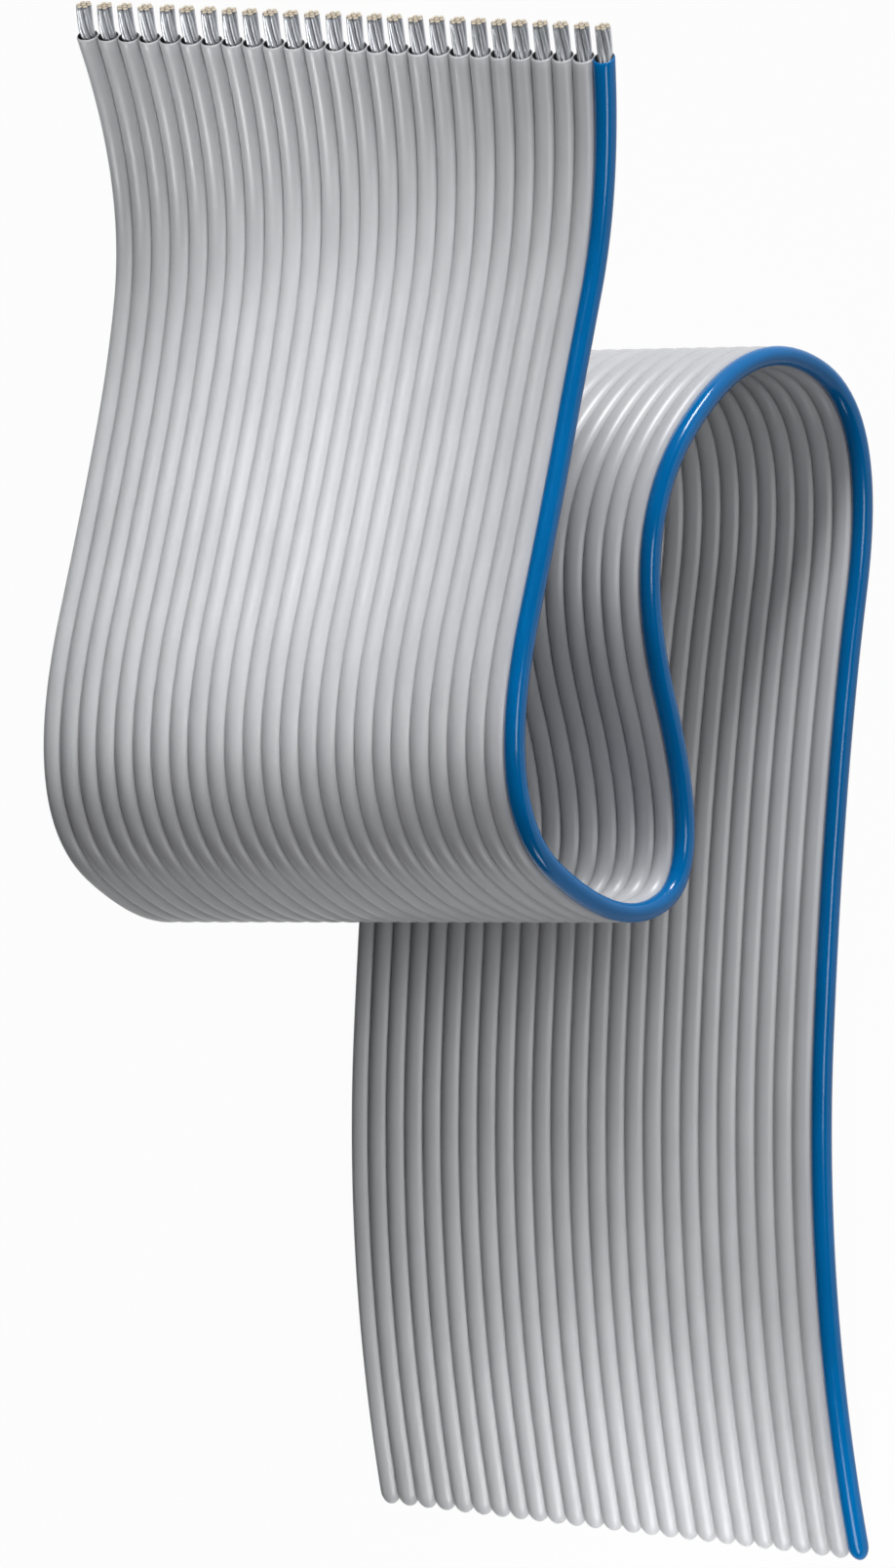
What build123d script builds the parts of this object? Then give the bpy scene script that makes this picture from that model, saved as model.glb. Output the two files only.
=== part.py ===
from build123d import *
import math
import os

# A flat ribbon cable: 26 insulated wires side by side, folded twice into an S, with its
# conductors stripped bare at one end. Millimetres. It lies on its rear panel on the plane
# z = 0, its wires run along Y and its width is along X. The striped edge is at +X.

# Driving dimensions
wire_count = 26
pitch = 1.27  # standard spacing of the wires, 0.050 in
wire_diameter = 1.0  # over the insulation, the cable's thickness
web_thickness = 0.35  # where two wires join
bond_gap = 0.02  # between the gray insulation and the striped edge
strand_diameter = 0.25  # a conductor is six strands round a seventh
bore_clearance = 0.03  # round the conductor, at the stripped end
bore_depth = 1.0
bare_length = 1.9  # of conductor beyond the insulation
mouth_reach = 0.2  # past the bore's mouth before a conductor leans
conductor_rise = 17.0  # degrees that the bare conductors rise from the level
conductor_turn = 7.5  # degrees that they turn towards the striped edge

twist_angle = 7.7  # degrees that the stripped end is turned about its length
twist_length = 21.0  # the turn dies out over this stretch
strip_slant = 0.058  # each end is cut by hand, a little off square:
rear_slant = 0.076  # millimetres of length for each millimetre of width

# The cable's middle line in the YZ plane, from the stripped end to the far end
route = [
    (37.56, 22.3),
    (30.46, 20.1),
    (18.26, 22.6),
    (-1.74, 28.6),
    (-7.94, 18.8),
    (-4.54, 12.5),
    (12.36, 18.5),
    (22.76, 9.2),
    (18.96, -0.1),
    (0.06, 2.7),
    (-26.44, 4.2),
    (-39.54, 0.48),
]
bend_share = 0.45  # of the shorter run that a bend takes up
twist_stations = (4.1, 6.3, 8.4, 10.6, 15.0)  # of sections, closer together in the first bend

# Worked out
half_wire = wire_diameter / 2
half_web = web_thickness / 2
half_span = (wire_count - 1) / 2 * pitch  # from the middle to an edge wire
shoulder = half_wire * math.cos(math.radians(45))  # of the rounded outer edges
conductor_radius = 1.5 * strand_diameter
bore_radius = conductor_radius + bore_clearance
rise = math.radians(conductor_rise)
turn_out = math.radians(conductor_turn)
level_direction = Vector(math.sin(turn_out), math.cos(turn_out), 0)
bare_direction = level_direction * math.cos(rise) + Vector(0, 0, math.sin(rise))
striped_wire = wire_count - 1


def bend_radii(points):
    """The largest radius that fits each corner of the route."""
    found = []
    for before, corner, after in zip(points, points[1:], points[2:]):
        arriving = Vector(*corner) - Vector(*before)
        leaving = Vector(*after) - Vector(*corner)
        half_turn = math.radians(arriving.get_angle(leaving)) / 2
        found.append(bend_share * min(arriving.length, leaving.length) / math.tan(half_turn))
    return found


radii = bend_radii(route)
with BuildLine(Plane.YZ) as middle_line:
    FilletPolyline(*route, radius=radii)
whole_route = middle_line.wires()[0]
route_length = whole_route.length
print("bend radii", [round(radius, 1) for radius in radii])
print("length", round(route_length, 1))


def along(distance):
    """The middle line's point and its direction, at a distance from the stripped end."""
    point = whole_route.position_at(distance, position_mode=PositionMode.LENGTH)
    direction = whole_route.tangent_at(distance, position_mode=PositionMode.LENGTH)
    return point, direction


def across(distance):
    """The direction of the cable's width, which turns towards the stripped end."""
    turn = math.radians(twist_angle) * max(0.0, 1 - distance / twist_length) ** 2
    return Vector(math.cos(turn), 0, -math.sin(turn))


def section_plane(distance, slant=0.0):
    """The plane of a cross section, square to the wires or slanted."""
    point, direction = along(distance)
    width = across(distance) + direction * slant
    facing = direction - width * (direction.dot(width) / width.dot(width))
    return Plane(origin=point, x_dir=width, z_dir=facing)


def wire_offset(index):
    return index * pitch - half_span


def ridged_outline(first, last):
    """Corners of the section of neighbouring wires: two flats to a wire above, one flat below."""
    upper = []
    for index in range(first, last + 1):
        centre = wire_offset(index)
        if index == 0:
            upper += [(centre - half_wire, 0), (centre - shoulder, shoulder)]
        elif index == first:
            upper.append((centre - pitch / 2 + bond_gap, half_web))
        upper.append((centre, half_wire))
        if index == striped_wire:
            upper += [(centre + shoulder, shoulder), (centre + half_wire, 0)]
        else:
            upper.append((centre + pitch / 2, half_web))
    right, left = upper[-1][0], upper[0][0]
    lower = [(right, -half_wire), (left, -half_wire)]
    if last == striped_wire:
        centre = wire_offset(last)
        lower[:1] = [(centre + shoulder, -shoulder), (centre, -half_wire)]
    if first == 0:
        centre = wire_offset(first)
        lower[-1:] = [(centre, -half_wire), (centre - shoulder, -shoulder)]
    return upper + lower


def wire_section(plane, first, last):
    with BuildSketch(plane) as section:
        with BuildLine():
            Polyline(*ridged_outline(first, last), close=True)
        make_face()
    return section.sketch


twist_share = twist_length / route_length
folded_route = whole_route.trim(twist_share, 1.0)
strip_distance = strip_slant * half_span  # the middle of the slanted end
rear_distance = route_length - rear_slant * half_span
twisted_planes = [section_plane(strip_distance, strip_slant)]
for distance in (*twist_stations, twist_length):
    twisted_planes.append(section_plane(distance))
rear_plane = section_plane(rear_distance, rear_slant)


def wire_end(index):
    """The plane square to a wire at its stripped end, facing out of the cable."""
    offset = wire_offset(index)
    distance = strip_distance + strip_slant * offset
    step = 0.01  # along the wire, to find which way it runs
    here = along(distance)[0] + across(distance) * offset
    further = along(distance + step)[0] + across(distance + step) * offset
    return Plane(origin=here, x_dir=across(distance), z_dir=here - further)


def insulation(first, last):
    """The insulation of neighbouring wires, ruled through the turned stretch and then swept.

    Each wire has a blind bore at the stripped end, where its conductor comes out."""
    twisted = [wire_section(plane, first, last) for plane in twisted_planes]
    with BuildPart() as jacket:
        loft(twisted, ruled=True, clean=False)
        for index in range(first, last + 1):
            with BuildSketch(wire_end(index)):
                RegularPolygon(bore_radius, side_count=6, rotation=30)
        extrude(amount=bore_depth, both=True, clean=False, mode=Mode.SUBTRACT)
        sweep(twisted[-1], path=folded_route, clean=False)
        split(bisect_by=rear_plane, keep=Keep.BOTTOM)
    return jacket.part


def conductor(index):
    """Seven strands as one hexagonal rod, from the bore's floor to the cut tip."""
    floor = wire_end(index).offset(-bore_depth)
    mouth = wire_end(index).offset(mouth_reach)
    tip = Plane(
        origin=mouth.origin + bare_direction * bare_length,
        x_dir=mouth.x_dir,
        z_dir=bare_direction,
    )
    with BuildPart() as rod:
        for plane in (floor, mouth, tip):
            with BuildSketch(plane):
                RegularPolygon(conductor_radius, side_count=6, rotation=30)
        loft(ruled=True)
    return rod.part


def save(piece, name):
    piece.label = name
    export_step(piece, f"parts/{name}.step")


os.makedirs("parts", exist_ok=True)
save(insulation(0, striped_wire - 1), "gray_insulation")
save(insulation(striped_wire, striped_wire), "blue_edge_insulation")
for index in range(wire_count):
    save(conductor(index), f"conductor_{index + 1:02d}")
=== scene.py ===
# %% [markdown]
# # A flat ribbon cable
# Twenty-six insulated wires lie side by side and are bonded into one ribbon. The ribbon is
# folded twice into an S, and its conductors are stripped bare at one end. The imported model
# gives the frame that everything here is placed in: metres, +X across the ribbon towards
# the blue wire, +Y along the wires towards the stripped end, +Z up.

# %% The frame
import math
import random

import bmesh
import bpy
import numpy as np
from mathutils import Matrix, Vector


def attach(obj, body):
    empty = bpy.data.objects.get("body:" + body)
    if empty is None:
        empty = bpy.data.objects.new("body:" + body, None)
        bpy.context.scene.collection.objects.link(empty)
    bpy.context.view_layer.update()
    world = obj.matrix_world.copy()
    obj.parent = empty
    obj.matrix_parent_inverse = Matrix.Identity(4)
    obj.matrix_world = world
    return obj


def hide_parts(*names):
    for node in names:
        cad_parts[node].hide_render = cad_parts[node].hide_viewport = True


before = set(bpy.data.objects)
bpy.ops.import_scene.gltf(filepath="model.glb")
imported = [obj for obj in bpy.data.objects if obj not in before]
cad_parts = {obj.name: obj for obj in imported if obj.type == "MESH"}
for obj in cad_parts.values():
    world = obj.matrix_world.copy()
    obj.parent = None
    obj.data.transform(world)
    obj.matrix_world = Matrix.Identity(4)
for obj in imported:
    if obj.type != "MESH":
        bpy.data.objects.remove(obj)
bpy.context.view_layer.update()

# %% [markdown]
# ## Sizes
# Flat cable is made to a standard spacing, so that one press of a connector reaches every
# wire. All other sizes are taken in proportion to that spacing. Blender works in metres
# and a cable designer thinks in millimetres, so lengths are written as 1.27 * MM.

# %% Sizes of the cable
MM = 0.001
WIRE_COUNT = 26
PITCH = 1.27 * MM  # 0.050 in, the standard spacing
WIRE_WIDTH = 1.22 * MM  # a ridge is a little wider than it is high
WIRE_HEIGHT = 1.0 * MM
SWELL = 0.16  # the insulation's swelling where it was stripped, as a share of its height
SWELL_LENGTH = 12.0 * MM
WEB_THICKNESS = 0.22 * MM
WEB_REACH = 0.64 * MM  # just past half the spacing, so that neighbours join
HALF_SPAN = (WIRE_COUNT - 1) / 2 * PITCH  # from the middle to the last wire's centre
BLUE_WIRE = WIRE_COUNT - 1
print("ribbon", WIRE_COUNT, "wires,", round((2 * HALF_SPAN + WIRE_HEIGHT) / MM, 2), "mm wide")

# %% [markdown]
# ## The fold
# A ribbon can only bend about lines that run across it, so one curve, drawn in the side
# view, gives the whole fold. A NURBS curve of order 3 is a good likeness of something
# springy: it has no flat spots and no sudden change of direction. The points are nearly the
# ones that the solid model bends through. The rear loop's lowest one is set a little lower,
# because this curve passes further inside its corners, and both ends reach a little further
# out. Near the stripped end the ribbon is also turned about its own length, and the turn
# dies out smoothly.

# %% The middle line and the turn
ROUTE = [  # y and z in millimetres, from the stripped end to the far end
    (37.88, 22.38),
    (30.46, 20.1),
    (18.26, 22.6),
    (-1.74, 28.65),
    (-7.94, 18.8),
    (-4.55, 12.5),
    (12.36, 18.5),
    (22.8, 9.2),
    (18.93, -0.78),
    (0.09, 2.66),
    (-26.43, 4.2),
    (-39.66, 0.5),
]
CURVE_STEPS = 64  # for each of the route's points
TURN = math.radians(7.7)  # at the stripped end
TURN_LENGTH = 21.0 * MM
STRIP_SLANT = 0.058  # how far out of square each end is cut, as a share of the width
REAR_SLANT = 0.076


def middle_line():
    """Points along the route's NURBS curve, in the YZ plane."""
    data = bpy.data.curves.new("middle_line", "CURVE")
    data.dimensions = "3D"
    data.resolution_u = CURVE_STEPS
    spline = data.splines.new("NURBS")
    spline.points.add(len(ROUTE) - 1)
    for point, (y, z) in zip(spline.points, ROUTE):
        point.co = (0.0, y * MM, z * MM, 1.0)
    spline.order_u = 3
    spline.use_endpoint_u = True
    holder = bpy.data.objects.new("middle_line", data)
    bpy.context.scene.collection.objects.link(holder)
    line = bpy.data.meshes.new_from_object(holder)
    points = np.array([vertex.co[:] for vertex in line.vertices])
    bpy.data.objects.remove(holder)
    bpy.data.meshes.remove(line)
    bpy.data.curves.remove(data)
    return points


middle = middle_line()
steps = np.linalg.norm(np.diff(middle, axis=0), axis=1)
travelled = np.concatenate([[0.0], np.cumsum(steps)])
LENGTH = float(travelled[-1])
print("middle line", round(LENGTH / MM, 2), "mm, from", len(middle), "points")

# %% [markdown]
# Every wire keeps its own distance from the middle line, measured across the ribbon. That
# is all a wire's centre line needs: how far along, how far across, and the turn there.


# %% Where a wire runs
def turned(distance):
    """The turn about the ribbon's length, at each distance from the stripped end."""
    return TURN * np.clip(1.0 - distance / TURN_LENGTH, 0.0, 1.0) ** 2


def wire_line(distance, offset):
    """Points of the wire that lies at an offset across the ribbon."""
    turn = turned(distance)
    y = np.interp(distance, travelled, middle[:, 1])
    z = np.interp(distance, travelled, middle[:, 2])
    return np.stack([offset * np.cos(turn), y, z - offset * np.sin(turn)], axis=1)


def unit(vectors):
    """The same directions, with a length of 1."""
    return vectors / np.linalg.norm(vectors, axis=-1, keepdims=True)


def wire_axes(distance, offset):
    """At each distance: the way the wire runs, the ribbon's width, and its upper side."""
    step = 0.15 * MM  # each way along the wire, to see where it is heading
    forward = unit(wire_line(distance + step, offset) - wire_line(distance - step, offset))
    turn = turned(distance)
    width = np.stack([np.cos(turn), np.zeros_like(turn), -np.sin(turn)], axis=1)
    width = unit(width - forward * np.sum(width * forward, axis=1, keepdims=True))
    return forward, width, np.cross(forward, width)


def wire_offset(index):
    """How far a wire lies from the middle of the ribbon, towards the blue wire."""
    return index * PITCH - HALF_SPAN


def wire_ends(index):
    """The distances at which a wire starts and stops. Both cuts are a little out of square."""
    across = wire_offset(index)
    start = STRIP_SLANT * (across + HALF_SPAN)
    stop = LENGTH - REAR_SLANT * (HALF_SPAN - across)
    return start, stop


# %% [markdown]
# ## The photograph's view
# The cable lies on a table and the camera looks down on it from the blue side. A long lens
# from far away keeps the bands parallel, as they are in the picture. The camera is made
# early, because the stripped ends are trimmed at a slant that faces this way.

# %% Camera
VIEW_AZIMUTH = math.radians(42.39)  # from straight above, towards the blue wire
VIEW_TILT = math.radians(-0.4)
VIEW_ROLL = math.radians(0.11)
VIEW_DISTANCE = 1200 * MM
SIDESTEP = (-9.71 * MM, 0.444 * MM)  # of the camera, to its right and up
SENSOR_HEIGHT = 24.0  # millimetres, as Blender's own cameras have it
PHOTO_HEIGHT = 1608  # pixels
PIXELS_PER_MM = 20.0  # in the photograph, at the distance of the origin
LINE_SHIFT = Vector((0, -0.64 * MM, 0))  # of the camera, along the wires
NEAREST_SEEN = 0.1  # metres from the camera
FURTHEST_SEEN = 20.0

back = Vector((
    math.sin(VIEW_AZIMUTH) * math.cos(VIEW_TILT),
    math.sin(VIEW_TILT),
    math.cos(VIEW_AZIMUTH) * math.cos(VIEW_TILT),
))
level_right = Vector((math.cos(VIEW_AZIMUTH), 0, -math.sin(VIEW_AZIMUTH)))
level_up = back.cross(level_right)
right = level_right * math.cos(VIEW_ROLL) + level_up * math.sin(VIEW_ROLL)
up = level_up * math.cos(VIEW_ROLL) - level_right * math.sin(VIEW_ROLL)

camera_data = bpy.data.cameras.new("camera")
camera_data.sensor_fit = "VERTICAL"
camera_data.sensor_height = SENSOR_HEIGHT
camera_data.lens = SENSOR_HEIGHT * PIXELS_PER_MM * (VIEW_DISTANCE / MM) / PHOTO_HEIGHT
camera_data.clip_start = NEAREST_SEEN
camera_data.clip_end = FURTHEST_SEEN
camera = bpy.data.objects.new("camera", camera_data)
bpy.context.scene.collection.objects.link(camera)
place = back * VIEW_DISTANCE + right * SIDESTEP[0] + up * SIDESTEP[1] + LINE_SHIFT
turn_to_view = Matrix((right, up, back)).transposed().to_4x4()
camera.matrix_world = Matrix.Translation(place) @ turn_to_view
bpy.context.scene.camera = camera
print("lens", round(camera_data.lens), "mm")

# %% [markdown]
# ## Colours and nodes
# Colours are picked on a screen as sRGB hex values, and the renderer wants linear ones, so
# one function turns one into the other. Another adds a node, sets it and links it.


# %% Helpers for materials
def linear(hex_colour):
    """An sRGB colour such as "#C6C9CB" as linear red, green, blue and alpha.

    The numbers are those of the sRGB standard."""
    values = [int(hex_colour[i : i + 2], 16) / 255 for i in (1, 3, 5)]
    return [v / 12.92 if v <= 0.04045 else ((v + 0.055) / 1.055) ** 2.4 for v in values] + [1.0]


def add_node(material, kind, settings=None, **inputs):
    """Adds a node. An input is a number, a colour, or the output socket that feeds it.

    It goes by its label, or by its place: _0 is the first."""
    tree = material.node_tree
    node = tree.nodes.new(kind)
    for name, value in (settings or {}).items():
        setattr(node, name, value)
    for name, value in inputs.items():
        key = int(name[1:]) if name[0] == "_" else name.replace("_", " ")
        if isinstance(value, bpy.types.NodeSocket):
            tree.links.new(value, node.inputs[key])
        else:
            node.inputs[key].default_value = value
    return node


def new_material(name):
    """An empty material and its surface output."""
    material = bpy.data.materials.new(name)
    material.use_nodes = True
    material.node_tree.nodes.clear()
    return material, material.node_tree.nodes.new("ShaderNodeOutputMaterial")


# %% [markdown]
# ## PVC insulation
# The insulation is plasticised PVC, pushed hot through a die round all the wires at once.
# Extruded PVC has a satin skin: neither matt nor mirror-bright, with very fine lines along
# its length that the die leaves, and a faint unevenness where the melt flowed. Each vertex
# carries its place on the cable in millimetres (along, around, and the wire's number), so
# the lines can follow every fold.


# %% Extruded PVC
NOISE_LOW = 0.35  # a noise seldom goes below this, or above the other
NOISE_HIGH = 0.65
PVC_IOR = 1.53


def extruded_pvc(name, colour, shade, roughness, shine):
    """PVC insulation: a colour, the darker shade it drifts to, and how it reflects."""
    material, output = new_material(name)
    place_on_wire = add_node(
        material, "ShaderNodeAttribute", {"attribute_name": "place_on_wire"}
    ).outputs["Vector"]
    die_spacing = 0.12  # millimetres between die lines; real ones are finer, and would not show
    die_run = 9.0  # millimetres that a line lasts
    lines_apart = 3.7  # in the noise, from wire to wire, so that no two are alike
    stretched = add_node(
        material,
        "ShaderNodeVectorMath",
        {"operation": "MULTIPLY"},
        _0=place_on_wire,
        _1=(1 / die_run, 1 / die_spacing, lines_apart),
    ).outputs[0]
    lines = add_node(material, "ShaderNodeTexNoise", Vector=stretched, Scale=1.0, Detail=2.0)
    drift_size = 6.0  # millimetres
    drifts_apart = 5.3
    drift_scale = add_node(
        material,
        "ShaderNodeVectorMath",
        {"operation": "MULTIPLY"},
        _0=place_on_wire,
        _1=(1 / drift_size, 1 / drift_size, drifts_apart),
    ).outputs[0]
    drift = add_node(material, "ShaderNodeTexNoise", Vector=drift_scale, Scale=1.0, Detail=3.0)
    drifted = add_node(
        material,
        "ShaderNodeMapRange",
        Value=drift.outputs["Fac"],
        From_Min=NOISE_LOW,
        From_Max=NOISE_HIGH,
    ).outputs["Result"]
    tint = add_node(
        material,
        "ShaderNodeMix",
        {"data_type": "RGBA"},
        _0=drifted,
        _6=linear(colour),
        _7=linear(shade),
    ).outputs[2]
    smoother = 0.05  # how much the lines change the roughness, either way
    rougher = 0.07
    sheen_range = add_node(
        material,
        "ShaderNodeMapRange",
        Value=lines.outputs["Fac"],
        To_Min=roughness - smoother,
        To_Max=roughness + rougher,
    ).outputs["Result"]
    line_depth = 0.01 * MM
    line_strength = 0.25  # of the bump, so that the skin stays even
    bump = add_node(
        material,
        "ShaderNodeBump",
        Strength=line_strength,
        Distance=line_depth,
        Height=lines.outputs["Fac"],
    ).outputs["Normal"]
    skin = add_node(
        material,
        "ShaderNodeBsdfPrincipled",
        Base_Color=tint,
        Roughness=sheen_range,
        IOR=PVC_IOR,
        Specular_IOR_Level=shine,
        Normal=bump,
    )
    material.node_tree.links.new(skin.outputs[0], output.inputs["Surface"])
    return material


GRAY_PVC = extruded_pvc("satin_gray_pvc", "#BFC0C3", "#B8B9BC", roughness=0.36, shine=0.5)
BLUE_PVC = extruded_pvc("glossy_blue_pvc", "#006CAF", "#0064A2", roughness=0.15, shine=0.25)
# the inside of a stripped mouth is painted dark: a dull gray that is painted shade for the bore
SHADED_BORE_PVC = extruded_pvc("painted_shade_bore_pvc", "#454649", "#3C3D40", roughness=0.70, shine=0.1)
print("insulation", [pvc.name for pvc in (GRAY_PVC, BLUE_PVC, SHADED_BORE_PVC)])

# %% [markdown]
# ## Tinned copper
# Each conductor is seven copper strands, drawn thin and then tinned, so their sides are
# silvery and a little dull. Only where the cutter went through does the copper show.


# %% Tinned strands and their cut tips
def tinned_copper():
    """Bright tin with faint streaks from drawing."""
    material, output = new_material("drawn_tinned_copper")
    place_on_wire = add_node(
        material, "ShaderNodeAttribute", {"attribute_name": "place_on_wire"}
    ).outputs["Vector"]
    streak_run = 1.2  # millimetres
    streak_spacing = 0.03  # millimetres, which shows only from close by
    streaks_apart = 7.9  # in the noise, from strand to strand
    stretched = add_node(
        material,
        "ShaderNodeVectorMath",
        {"operation": "MULTIPLY"},
        _0=place_on_wire,
        _1=(1 / streak_run, 1 / streak_spacing, streaks_apart),
    ).outputs[0]
    streaks = add_node(material, "ShaderNodeTexNoise", Vector=stretched, Scale=1.0, Detail=3.0)
    tint = add_node(
        material,
        "ShaderNodeMix",
        {"data_type": "RGBA"},
        _0=streaks.outputs["Fac"],
        _6=linear("#E4E6EA"),
        _7=linear("#BCBFC4"),
    ).outputs[2]
    bright_streak = 0.36  # roughness
    dull_streak = 0.56
    rough = add_node(
        material,
        "ShaderNodeMapRange",
        Value=streaks.outputs["Fac"],
        To_Min=bright_streak,
        To_Max=dull_streak,
    ).outputs["Result"]
    metal = add_node(
        material,
        "ShaderNodeBsdfPrincipled",
        Base_Color=tint,
        Metallic=0.85,  # the skin of oxide on the tin takes the rest
        Roughness=rough,
    )
    material.node_tree.links.new(metal.outputs[0], output.inputs["Surface"])
    return material


def cut_copper():
    """The sheared faces of the strands: pale copper, torn and so rather rough."""
    material, output = new_material("sheared_copper")
    grain_size = 0.05 * MM
    grain = add_node(material, "ShaderNodeTexNoise", Scale=1 / grain_size, Detail=2.0)
    coordinates = add_node(material, "ShaderNodeTexCoord").outputs["Object"]
    material.node_tree.links.new(coordinates, grain.inputs["Vector"])
    tint = add_node(
        material,
        "ShaderNodeMix",
        {"data_type": "RGBA"},
        _0=grain.outputs["Fac"],
        _6=linear("#D8CCB6"),
        _7=linear("#B3A692"),
    ).outputs[2]
    metal = add_node(
        material,
        "ShaderNodeBsdfPrincipled",
        Base_Color=tint,
        Metallic=0.35,  # torn metal scatters light as paint does
        Roughness=0.55,
    )
    material.node_tree.links.new(metal.outputs[0], output.inputs["Surface"])
    return material


TINNED_COPPER = tinned_copper()
CUT_COPPER = cut_copper()
print("conductors", [metal.name for metal in (TINNED_COPPER, CUT_COPPER)])

# %% [markdown]
# ## The insulated wires
# A wire could be a curve with a bevel, but its section isn't a circle: it narrows to a thin
# web on each side, where it is bonded to its neighbours, and at both ends it is round. So
# each wire is a tube of rings, built point by point. A ring is mixed from a round shape and
# a webbed one that have the same number of points.

# %% The section of a wire
ARC_LOW = 24  # degrees, where a ridge runs out into the web
ARC_STEPS = 8
WEB_LOW = 10  # degrees, for the points that move out to the web
arc = np.linspace(ARC_LOW, 180 - ARC_LOW, ARC_STEPS + 1)
far_web = [180 - WEB_LOW, 180 + WEB_LOW]
ring_degrees = np.concatenate([[WEB_LOW], arc, far_web, arc + 180, [360 - WEB_LOW]])
RING_ANGLES = np.radians(ring_degrees)
print("section", len(RING_ANGLES), "points")


def ring_shape(index, web, height):
    """Across and up for each point of a ring. web is 0 for a round ring, 1 for a webbed one."""
    across = np.cos(RING_ANGLES)
    rise = np.sin(RING_ANGLES)
    outer = np.zeros(len(across), dtype=bool)
    if index == 0:
        outer = across < 0
    if index == BLUE_WIRE:
        outer = across > 0
    half_width = np.where(outer, height / 2, WIRE_WIDTH / 2)
    shape = np.stack([across * half_width, rise * height / 2], axis=1)
    halfway = math.radians((WEB_LOW + ARC_LOW) / 2)
    on_web = (np.abs(rise) < math.sin(halfway)) & ~outer
    webbed = shape.copy()
    webbed[on_web, 0] = np.sign(across[on_web]) * WEB_REACH
    webbed[on_web, 1] = np.sign(rise[on_web]) * WEB_THICKNESS / 2
    return shape + (webbed - shape) * web


# %% [markdown]
# Near its ends a wire comes free of its neighbours. At the stripped end it is a short round
# tube with a trimmed mouth that faces a little upwards, and the bore behind the mouth is
# where the bare strands come out. At the far end the cutter has squeezed the insulation
# shut over the strands, so the wire ends in a small dome.

# %% Ends of a wire
FREE_LENGTH = 0.6 * MM  # that a wire stands clear of the web
FREE_BLEND = 0.7 * MM  # over which the web then grows
MOUTH_ROUNDING = 0.10 * MM
BORE_SHARE = 0.82  # the bore's width, as a share of the wire's
MOUTH_PROFILE = [  # over the lip: depth in roundings, width as a share of the wire's
    (1.0, BORE_SHARE),
    (0.2, 0.84),
    (0.0, 0.88),
    (0.35, 0.945),
    (0.7, 0.982),
]
BORE_DEPTH = 1.0 * MM
SLANT_FADE = 3.0 * MM  # over which the mouth's slant dies out
DOME_LENGTH = 0.75 * MM
DOME_STEPS = 6
RING_SPACING = 0.5 * MM
BORE_RINGS = 2 + len(MOUTH_PROFILE)  # two for its floor, the others for the lip
MOUTH_RING = 4  # the one furthest out
MOUTH_FACING = (back * 0.52 + up * 0.83 - right * 0.19).normalized()  # chosen from the picture


def web_share(from_end):
    """How far the web has grown, at a distance from a wire's end."""
    share = np.clip((from_end - FREE_LENGTH) / FREE_BLEND, 0.0, 1.0)
    return share * share * (3 - 2 * share)


def wire_rings(index):
    """For each ring of a wire, from the bore's floor to the far end: distance, size, web."""
    start, stop = wire_ends(index)
    bore = [(start + BORE_DEPTH, 0.0, 0.0), (start + BORE_DEPTH, BORE_SHARE, 0.0)]
    for depth, size in MOUTH_PROFILE:
        bore.append((start + depth * MOUTH_ROUNDING, size, 0.0))
    body_stop = stop - DOME_LENGTH
    count = round((body_stop - start) / RING_SPACING)
    body = []
    for distance in np.linspace(start + MOUTH_ROUNDING, body_stop, count):
        web = web_share(min(distance - start, stop - distance))
        body.append((distance, 1.0, float(web)))
    dome = []
    for step in range(1, DOME_STEPS + 1):
        angle = math.pi / 2 * step / DOME_STEPS
        dome.append((body_stop + DOME_LENGTH * math.sin(angle), math.cos(angle), 0.0))
    return bore + body + dome


# %% [markdown]
# The rings lie along the wire's line, and faces join each one to the next. The mouth gets
# its slant by moving the points of the rings near it along the wire. The bore's faces have
# a second material, a dark dull gray that is painted shade for the inside of the bore.

# %% The mesh of a wire
SECOND_MATERIAL = 1
SAME_POINT = 1e-7  # metres: points that are closer than this are one
NO_LENGTH = 1e-8  # metres: an edge that is shorter is left out


def store_place(mesh, places):
    """Keeps each vertex's place on the cable, for the materials."""
    attribute = mesh.attributes.new("place_on_wire", "FLOAT_VECTOR", "POINT")
    attribute.data.foreach_set("vector", places.ravel().astype(np.float32))


def tube_faces(ring_count, sides, first=0):
    """The faces between a tube's rings, whose points are numbered from the first one on."""
    faces = []
    for ring in range(ring_count - 1):
        here = first + ring * sides
        ahead = here + sides
        for side in range(sides):
            following = (side + 1) % sides
            faces.append((here + side, ahead + side, ahead + following, here + following))
    return faces


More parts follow.
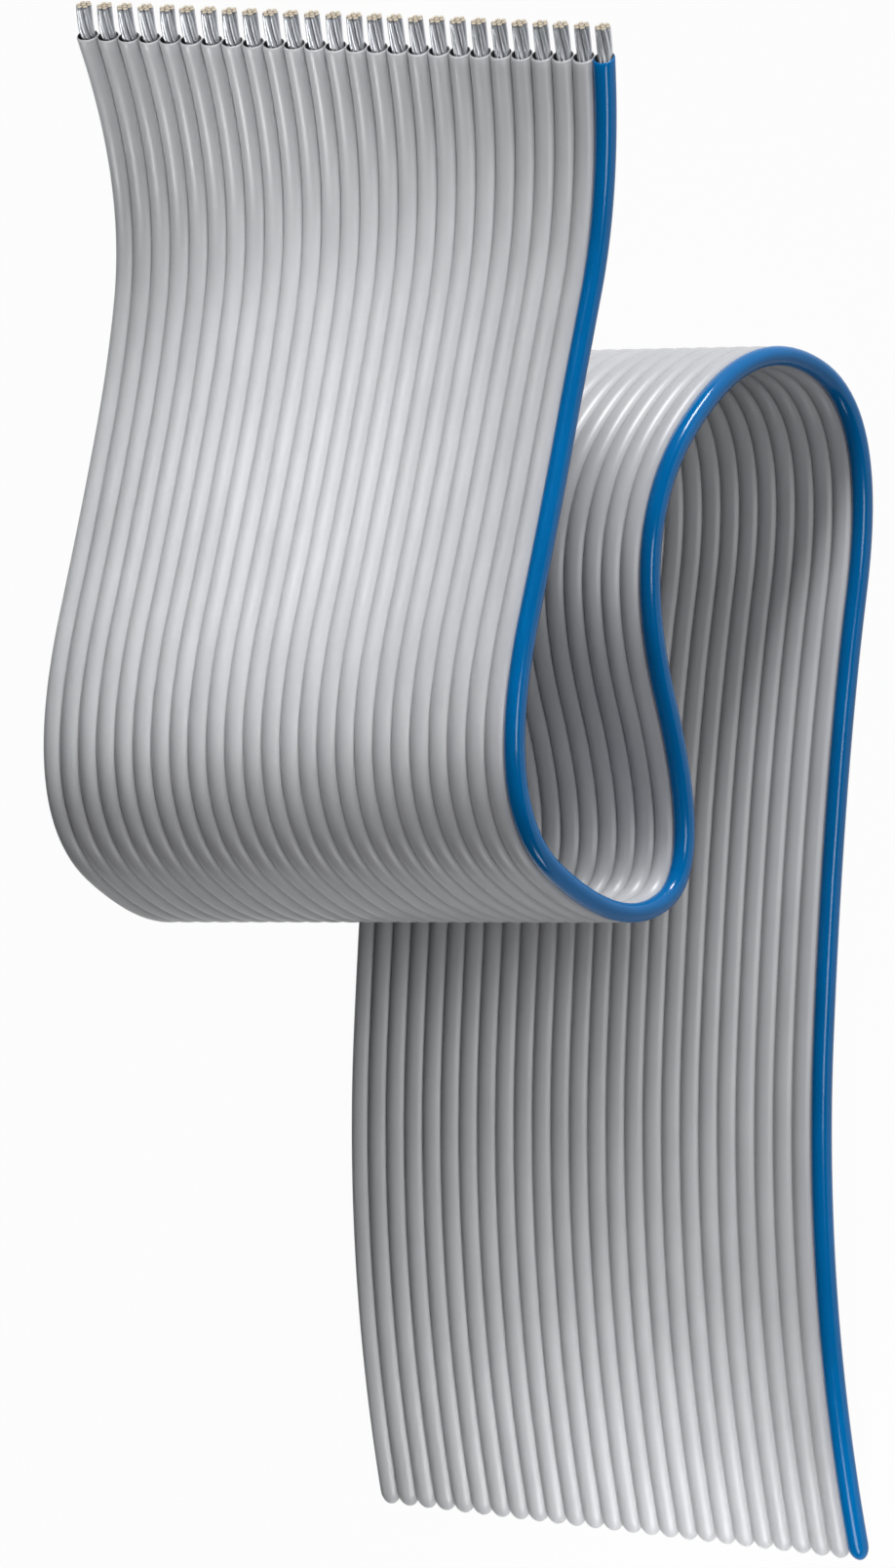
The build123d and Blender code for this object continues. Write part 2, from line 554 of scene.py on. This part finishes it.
def wire_mesh(index):
    """The mesh of one wire's insulation, and its middle line from the mouth to the far end."""
    distance, size, web = np.array(wire_rings(index)).T
    offset = wire_offset(index)
    centres = wire_line(distance, offset)
    forward, width, normal = wire_axes(distance, offset)

    swollen = 1 + SWELL * np.clip(1 - distance / SWELL_LENGTH, 0.0, 1.0) ** 2
    shapes = [ring_shape(index, w, WIRE_HEIGHT * swell) for w, swell in zip(web, swollen)]
    shapes = np.stack(shapes) * size[:, None, None]
    points = centres[:, None, :] + shapes[:, :, :1] * width[:, None, :]
    points = points + shapes[:, :, 1:] * normal[:, None, :]

    start = wire_ends(index)[0]
    fade = np.clip(1 - (distance - start) / SLANT_FADE, 0.0, 1.0)
    facing = np.array(MOUTH_FACING)
    outward = -float(facing @ forward[MOUTH_RING])
    slope = shapes[:, :, 0] * float(facing @ width[MOUTH_RING])
    slope = slope + shapes[:, :, 1] * float(facing @ normal[MOUTH_RING])
    points = points + (slope / outward * fade[:, None])[:, :, None] * forward[:, None, :]

    sides = len(RING_ANGLES)
    mesh = bpy.data.meshes.new(f"wire_{index + 1:02d}")
    mesh.from_pydata(points.reshape(-1, 3).tolist(), [], tube_faces(len(distance), sides))
    # the bore's faces get the dark bore material, which is painted shade
    shaded_bore_faces = MOUTH_RING * sides  # they come first, up to the mouth
    for number in range(shaded_bore_faces):
        mesh.polygons[number].material_index = SECOND_MATERIAL
    around = np.tile(np.arange(sides) * math.pi * WIRE_HEIGHT / MM / sides, len(distance))
    along = np.repeat(distance / MM, sides)
    wire_number = np.full(len(along), float(index))
    store_place(mesh, np.stack([along, around, wire_number], axis=1))
    return mesh, centres[BORE_RINGS:]


def weld(mesh):
    """Joins the points of a ring of no size, drops empty faces and turns faces outwards."""
    working = bmesh.new()
    working.from_mesh(mesh)
    bmesh.ops.remove_doubles(working, verts=working.verts, dist=SAME_POINT)
    bmesh.ops.dissolve_degenerate(working, dist=NO_LENGTH, edges=working.edges)
    bmesh.ops.recalc_face_normals(working, faces=working.faces)
    for face in working.faces:
        face.smooth = True
    working.to_mesh(mesh)
    working.free()


def new_piece(name, mesh, *materials):
    """A piece of the cable in the scene. The cable has no joints, so all ride on its root."""
    piece = bpy.data.objects.new(name, mesh)
    bpy.context.scene.collection.objects.link(piece)
    for material in materials:
        mesh.materials.append(material)
    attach(piece, "root")
    return piece


# %% [markdown]
# ## The bare conductors
# Six strands lie round a seventh, and all seven are twisted together in a long slow
# spiral. Freed from the insulation, they straighten a little, lean a few degrees, and
# spread by a hair at their cut tips.

# %% Strands
STRAND_COUNT = 7
CORE_STRAND = STRAND_COUNT - 1  # the last one is in the middle
STRAND_STEP = math.pi / 3  # round the core, from one strand to the next
STRAND_DIAMETER = 0.262 * MM  # a real one's 0.25 looks too thin here
BARE_LENGTH = 1.6 * MM  # beyond the mouth
HIDDEN_LENGTH = 0.85 * MM  # inside the bore
STRAND_SIDES = 12
STRAND_RINGS = 14
LAY_LENGTH = 16.0 * MM  # for one turn of the twist
SPREAD = 0.10  # how much wider the bundle is at its tips
BARE_DIRECTION = (back * 0.31 + up * 0.945 - right * 0.10).normalized()
BUNDLE_SHIFT = 0.08 * MM  # towards the bore's lower side, where it rests
LEAN_LENGTH = 0.8 * MM  # over which a conductor bends to its own direction
LEAN_CHANCE = 0.03  # of that direction, either way
FIRST_ANGLE = math.radians(12)  # of the first strand round the core
ANGLE_CHANCE = 6  # degrees either way
LENGTH_CHANCE = 0.04  # millimetres either way, for each strand
TIP_FACING = (back * 0.45 + up * 0.87 - right * 0.16).normalized()
chance = random.Random(26)  # the same draws in every run
print("bundle", round(3 * STRAND_DIAMETER / MM, 2), "mm across")


def conductor_line(index):
    """The middle of a conductor, from inside the bore to the tip, and the ribbon's width."""
    mouth_distance = np.array([wire_ends(index)[0]])
    offset = wire_offset(index)
    mouth = wire_line(mouth_distance, offset)[0]
    forward, width, normal = (axis[0] for axis in wire_axes(mouth_distance, offset))
    mouth = mouth - normal * BUNDLE_SHIFT
    sideways = chance.uniform(-LEAN_CHANCE, LEAN_CHANCE)
    backwards = chance.uniform(-LEAN_CHANCE, LEAN_CHANCE)
    lean = BARE_DIRECTION + (right * sideways + back * backwards)
    lean = np.array(lean.normalized())
    reach = np.linspace(-HIDDEN_LENGTH, BARE_LENGTH, STRAND_RINGS)
    points = [mouth - forward * reach[0]]
    for before, after in zip(reach, reach[1:]):
        share = min(max((before + after) / 2 / LEAN_LENGTH, 0.0), 1.0)
        heading = unit(-forward * (1 - share) + lean * share)
        points.append(points[-1] + heading * (after - before))
    return reach, np.array(points), width


def conductor_mesh(index):
    """Seven twisted strands. Their tips are flat and have the second material."""
    reach, middle_points, width = conductor_line(index)
    first_angle = math.radians(chance.uniform(-ANGLE_CHANCE, ANGLE_CHANCE)) + FIRST_ANGLE
    vertices, faces, places, tips = [], [], [], []
    angles = np.arange(STRAND_SIDES) * 2 * math.pi / STRAND_SIDES
    heading = unit(np.gradient(middle_points, axis=0))
    tip_facing = np.array(TIP_FACING)
    for strand in range(STRAND_COUNT):
        base = len(vertices)
        strand_number = STRAND_COUNT * index + strand
        long_by = chance.uniform(-LENGTH_CHANCE, LENGTH_CHANCE) * MM
        for distance, point, ahead in zip(reach, middle_points, heading):
            bared = max(distance, 0.0) / BARE_LENGTH  # 0 inside the bore, 1 at the tip
            across = unit(width - ahead * float(width @ ahead))
            rise = np.cross(across, ahead)
            swing = first_angle + distance / LAY_LENGTH * 2 * math.pi + strand * STRAND_STEP
            arm = 0.0 if strand == CORE_STRAND else STRAND_DIAMETER * (1 + SPREAD * bared)
            centre = point + (across * math.cos(swing) + rise * math.sin(swing)) * arm
            centre = centre + ahead * long_by * bared
            for angle in angles:
                around = across * math.cos(angle) + rise * math.sin(angle)
                place = centre + around * STRAND_DIAMETER / 2
                slant = float(tip_facing @ (place - point)) / float(tip_facing @ ahead)
                slant *= bared**3  # so that only the tip is slanted
                vertices.append(place - ahead * slant)
                arc_length = angle * STRAND_DIAMETER / 2 / MM
                places.append((distance / MM, arc_length, strand_number))
        faces += tube_faces(STRAND_RINGS, STRAND_SIDES, base)
        last = base + (STRAND_RINGS - 1) * STRAND_SIDES
        tips.append(len(faces))
        faces.append(tuple(range(last, last + STRAND_SIDES)))
        faces.append(tuple(reversed(range(base, base + STRAND_SIDES))))
    mesh = bpy.data.meshes.new(f"strands_{index + 1:02d}")
    mesh.from_pydata([tuple(v) for v in vertices], [], faces)
    store_place(mesh, np.array(places))
    for polygon in mesh.polygons:
        polygon.use_smooth = len(polygon.vertices) == 4
    for number in tips:
        mesh.polygons[number].material_index = SECOND_MATERIAL
    return mesh


# %% [markdown]
# ## Putting the cable together
# Twenty-five gray wires stand for the gray solid, the blue one for the blue solid, and each
# bundle of strands for its own rod.

# %% Wires and strands
for index in range(WIRE_COUNT):
    strands = new_piece(
        f"strands_{index + 1:02d}", conductor_mesh(index), TINNED_COPPER, CUT_COPPER
    )
    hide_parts(f"conductor_{index + 1:02d}")

    mesh, path = wire_mesh(index)
    weld(mesh)
    if index == BLUE_WIRE:
        wire = new_piece("blue_edge_wire", mesh, BLUE_PVC, SHADED_BORE_PVC)
        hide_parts("blue_edge_insulation")
    else:
        wire = new_piece(f"gray_wire_{index + 1:02d}", mesh, GRAY_PVC, SHADED_BORE_PVC)
        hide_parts("gray_insulation")

# %% [markdown]
# ## The table
# The cable lies on a table with a white laminate top. To the camera and in reflections it
# is nearly pure white, and only a trace of the shadow is kept. Rays that carry light meet
# an ordinary pale surface instead, so the white of the picture doesn't light the cable.


# %% Table
def seen_plainly(owner):
    """1 for rays from the camera and for reflections, 0 for rays that carry light."""
    rays = add_node(owner, "ShaderNodeLightPath").outputs
    seen = rays["Is Camera Ray"]
    for other in ("Is Glossy Ray", "Is Transmission Ray"):
        seen = add_node(
            owner, "ShaderNodeMath", {"operation": "MAXIMUM"}, _0=seen, _1=rays[other]
        ).outputs[0]
    return seen


def white_table():
    material, output = new_material("white_laminate")
    surface = add_node(material, "ShaderNodeBsdfDiffuse", Color=linear("#CFCFCF"))
    glow = add_node(material, "ShaderNodeEmission", Color=(1, 1, 1, 1), Strength=1.0)
    whitened = 0.97  # to the camera; the rest shows the shadow
    share = add_node(
        material, "ShaderNodeMath", {"operation": "MULTIPLY"}, _0=seen_plainly(material), _1=whitened
    ).outputs[0]
    mixed = add_node(
        material, "ShaderNodeMixShader", _0=share, _1=surface.outputs[0], _2=glow.outputs[0]
    )
    material.node_tree.links.new(mixed.outputs[0], output.inputs["Surface"])
    return material


TABLE_HALF = 6.0  # metres, so that it fills any view from 5 degrees up or more
table_mesh = bpy.data.meshes.new("table")
corners = [(-1, -1), (1, -1), (1, 1), (-1, 1)]
table_mesh.from_pydata([(x * TABLE_HALF, y * TABLE_HALF, 0) for x, y in corners], [], [(0, 1, 2, 3)])
table_mesh.materials.append(white_table())
table = bpy.data.objects.new("table", table_mesh)
bpy.context.scene.collection.objects.link(table)
print("table", 2 * TABLE_HALF, "m wide")

# %% [markdown]
# ## Light
# Two large lamps do most of the work. One stands on the right, so that each ridge is light
# on its right flank and dark on its left. The other is low beyond the stripped end and
# rakes along the wires, so that slopes which face it are bright and the fold turns dark.
# Four small lamps close by lift single places, as in a studio: the far end, the first bend,
# the bare strands, and the front in general. A grid keeps three of them from spilling. The
# room adds very little, which keeps the metal's contrast.

# %% Lamps and world
LAMP_DISTANCE = 600 * MM
STUDIO_SIZE = 160 * MM
NEAR_SIZE = 20 * MM
NO_GRID = 180  # degrees
CABLE_MIDDLE = Vector((0, 0, 12)) * MM


def lamp(name, place, target, size, power, spread):
    """A square soft lamp that faces a target. Its power is in watts.

    A grid in front of it keeps the light within the spread, in degrees."""
    data = bpy.data.lights.new(name, "AREA")
    data.size = size
    data.energy = power
    data.spread = math.radians(spread)
    holder = bpy.data.objects.new(name, data)
    bpy.context.scene.collection.objects.link(holder)
    holder.location = place
    heading = holder.location - target
    holder.rotation_euler = heading.to_track_quat("Z", "Y").to_euler()
    holder.visible_camera = False


def studio_lamp(name, direction, power):
    """A large lamp well away from the cable, in a direction from its middle."""
    place = CABLE_MIDDLE + Vector(direction).normalized() * LAMP_DISTANCE
    lamp(name, place, CABLE_MIDDLE, STUDIO_SIZE, power, NO_GRID)


def near_lamp(name, place, target, power, spread):
    """A small lamp close to the cable, from a place to a target in millimetres."""
    lamp(name, Vector(place) * MM, Vector(target) * MM, NEAR_SIZE, power, spread)


studio_lamp("side", direction=(0.80, 0.10, 0.60), power=0.75)
studio_lamp("rake", direction=(0.30, 0.93, 0.19), power=3.2)
near_lamp("front", place=(30, -60, 40), target=(0, -36, 2), power=0.0098, spread=NO_GRID)
near_lamp("far_end", place=(22, -62, 22), target=(0, -36, 2), power=0.0018, spread=60)
near_lamp("stripped_end", place=(-25, 8, 90), target=(-5, 40, 22), power=0.0017, spread=36)
near_lamp("first_bend", place=(6, 62, 75), target=(0, 8, 26), power=0.0024, spread=40)
print("lamps", [light.name for light in bpy.data.lights])

ROOM_LIGHT = 0.03
world = bpy.data.worlds.new("dim_room")
bpy.context.scene.world = world
world.use_nodes = True
world.node_tree.nodes.clear()
world_output = world.node_tree.nodes.new("ShaderNodeOutputWorld")
background = add_node(world, "ShaderNodeBackground", Strength=ROOM_LIGHT)
world.node_tree.links.new(background.outputs[0], world_output.inputs["Surface"])

bpy.context.scene.view_settings.view_transform = "Standard"
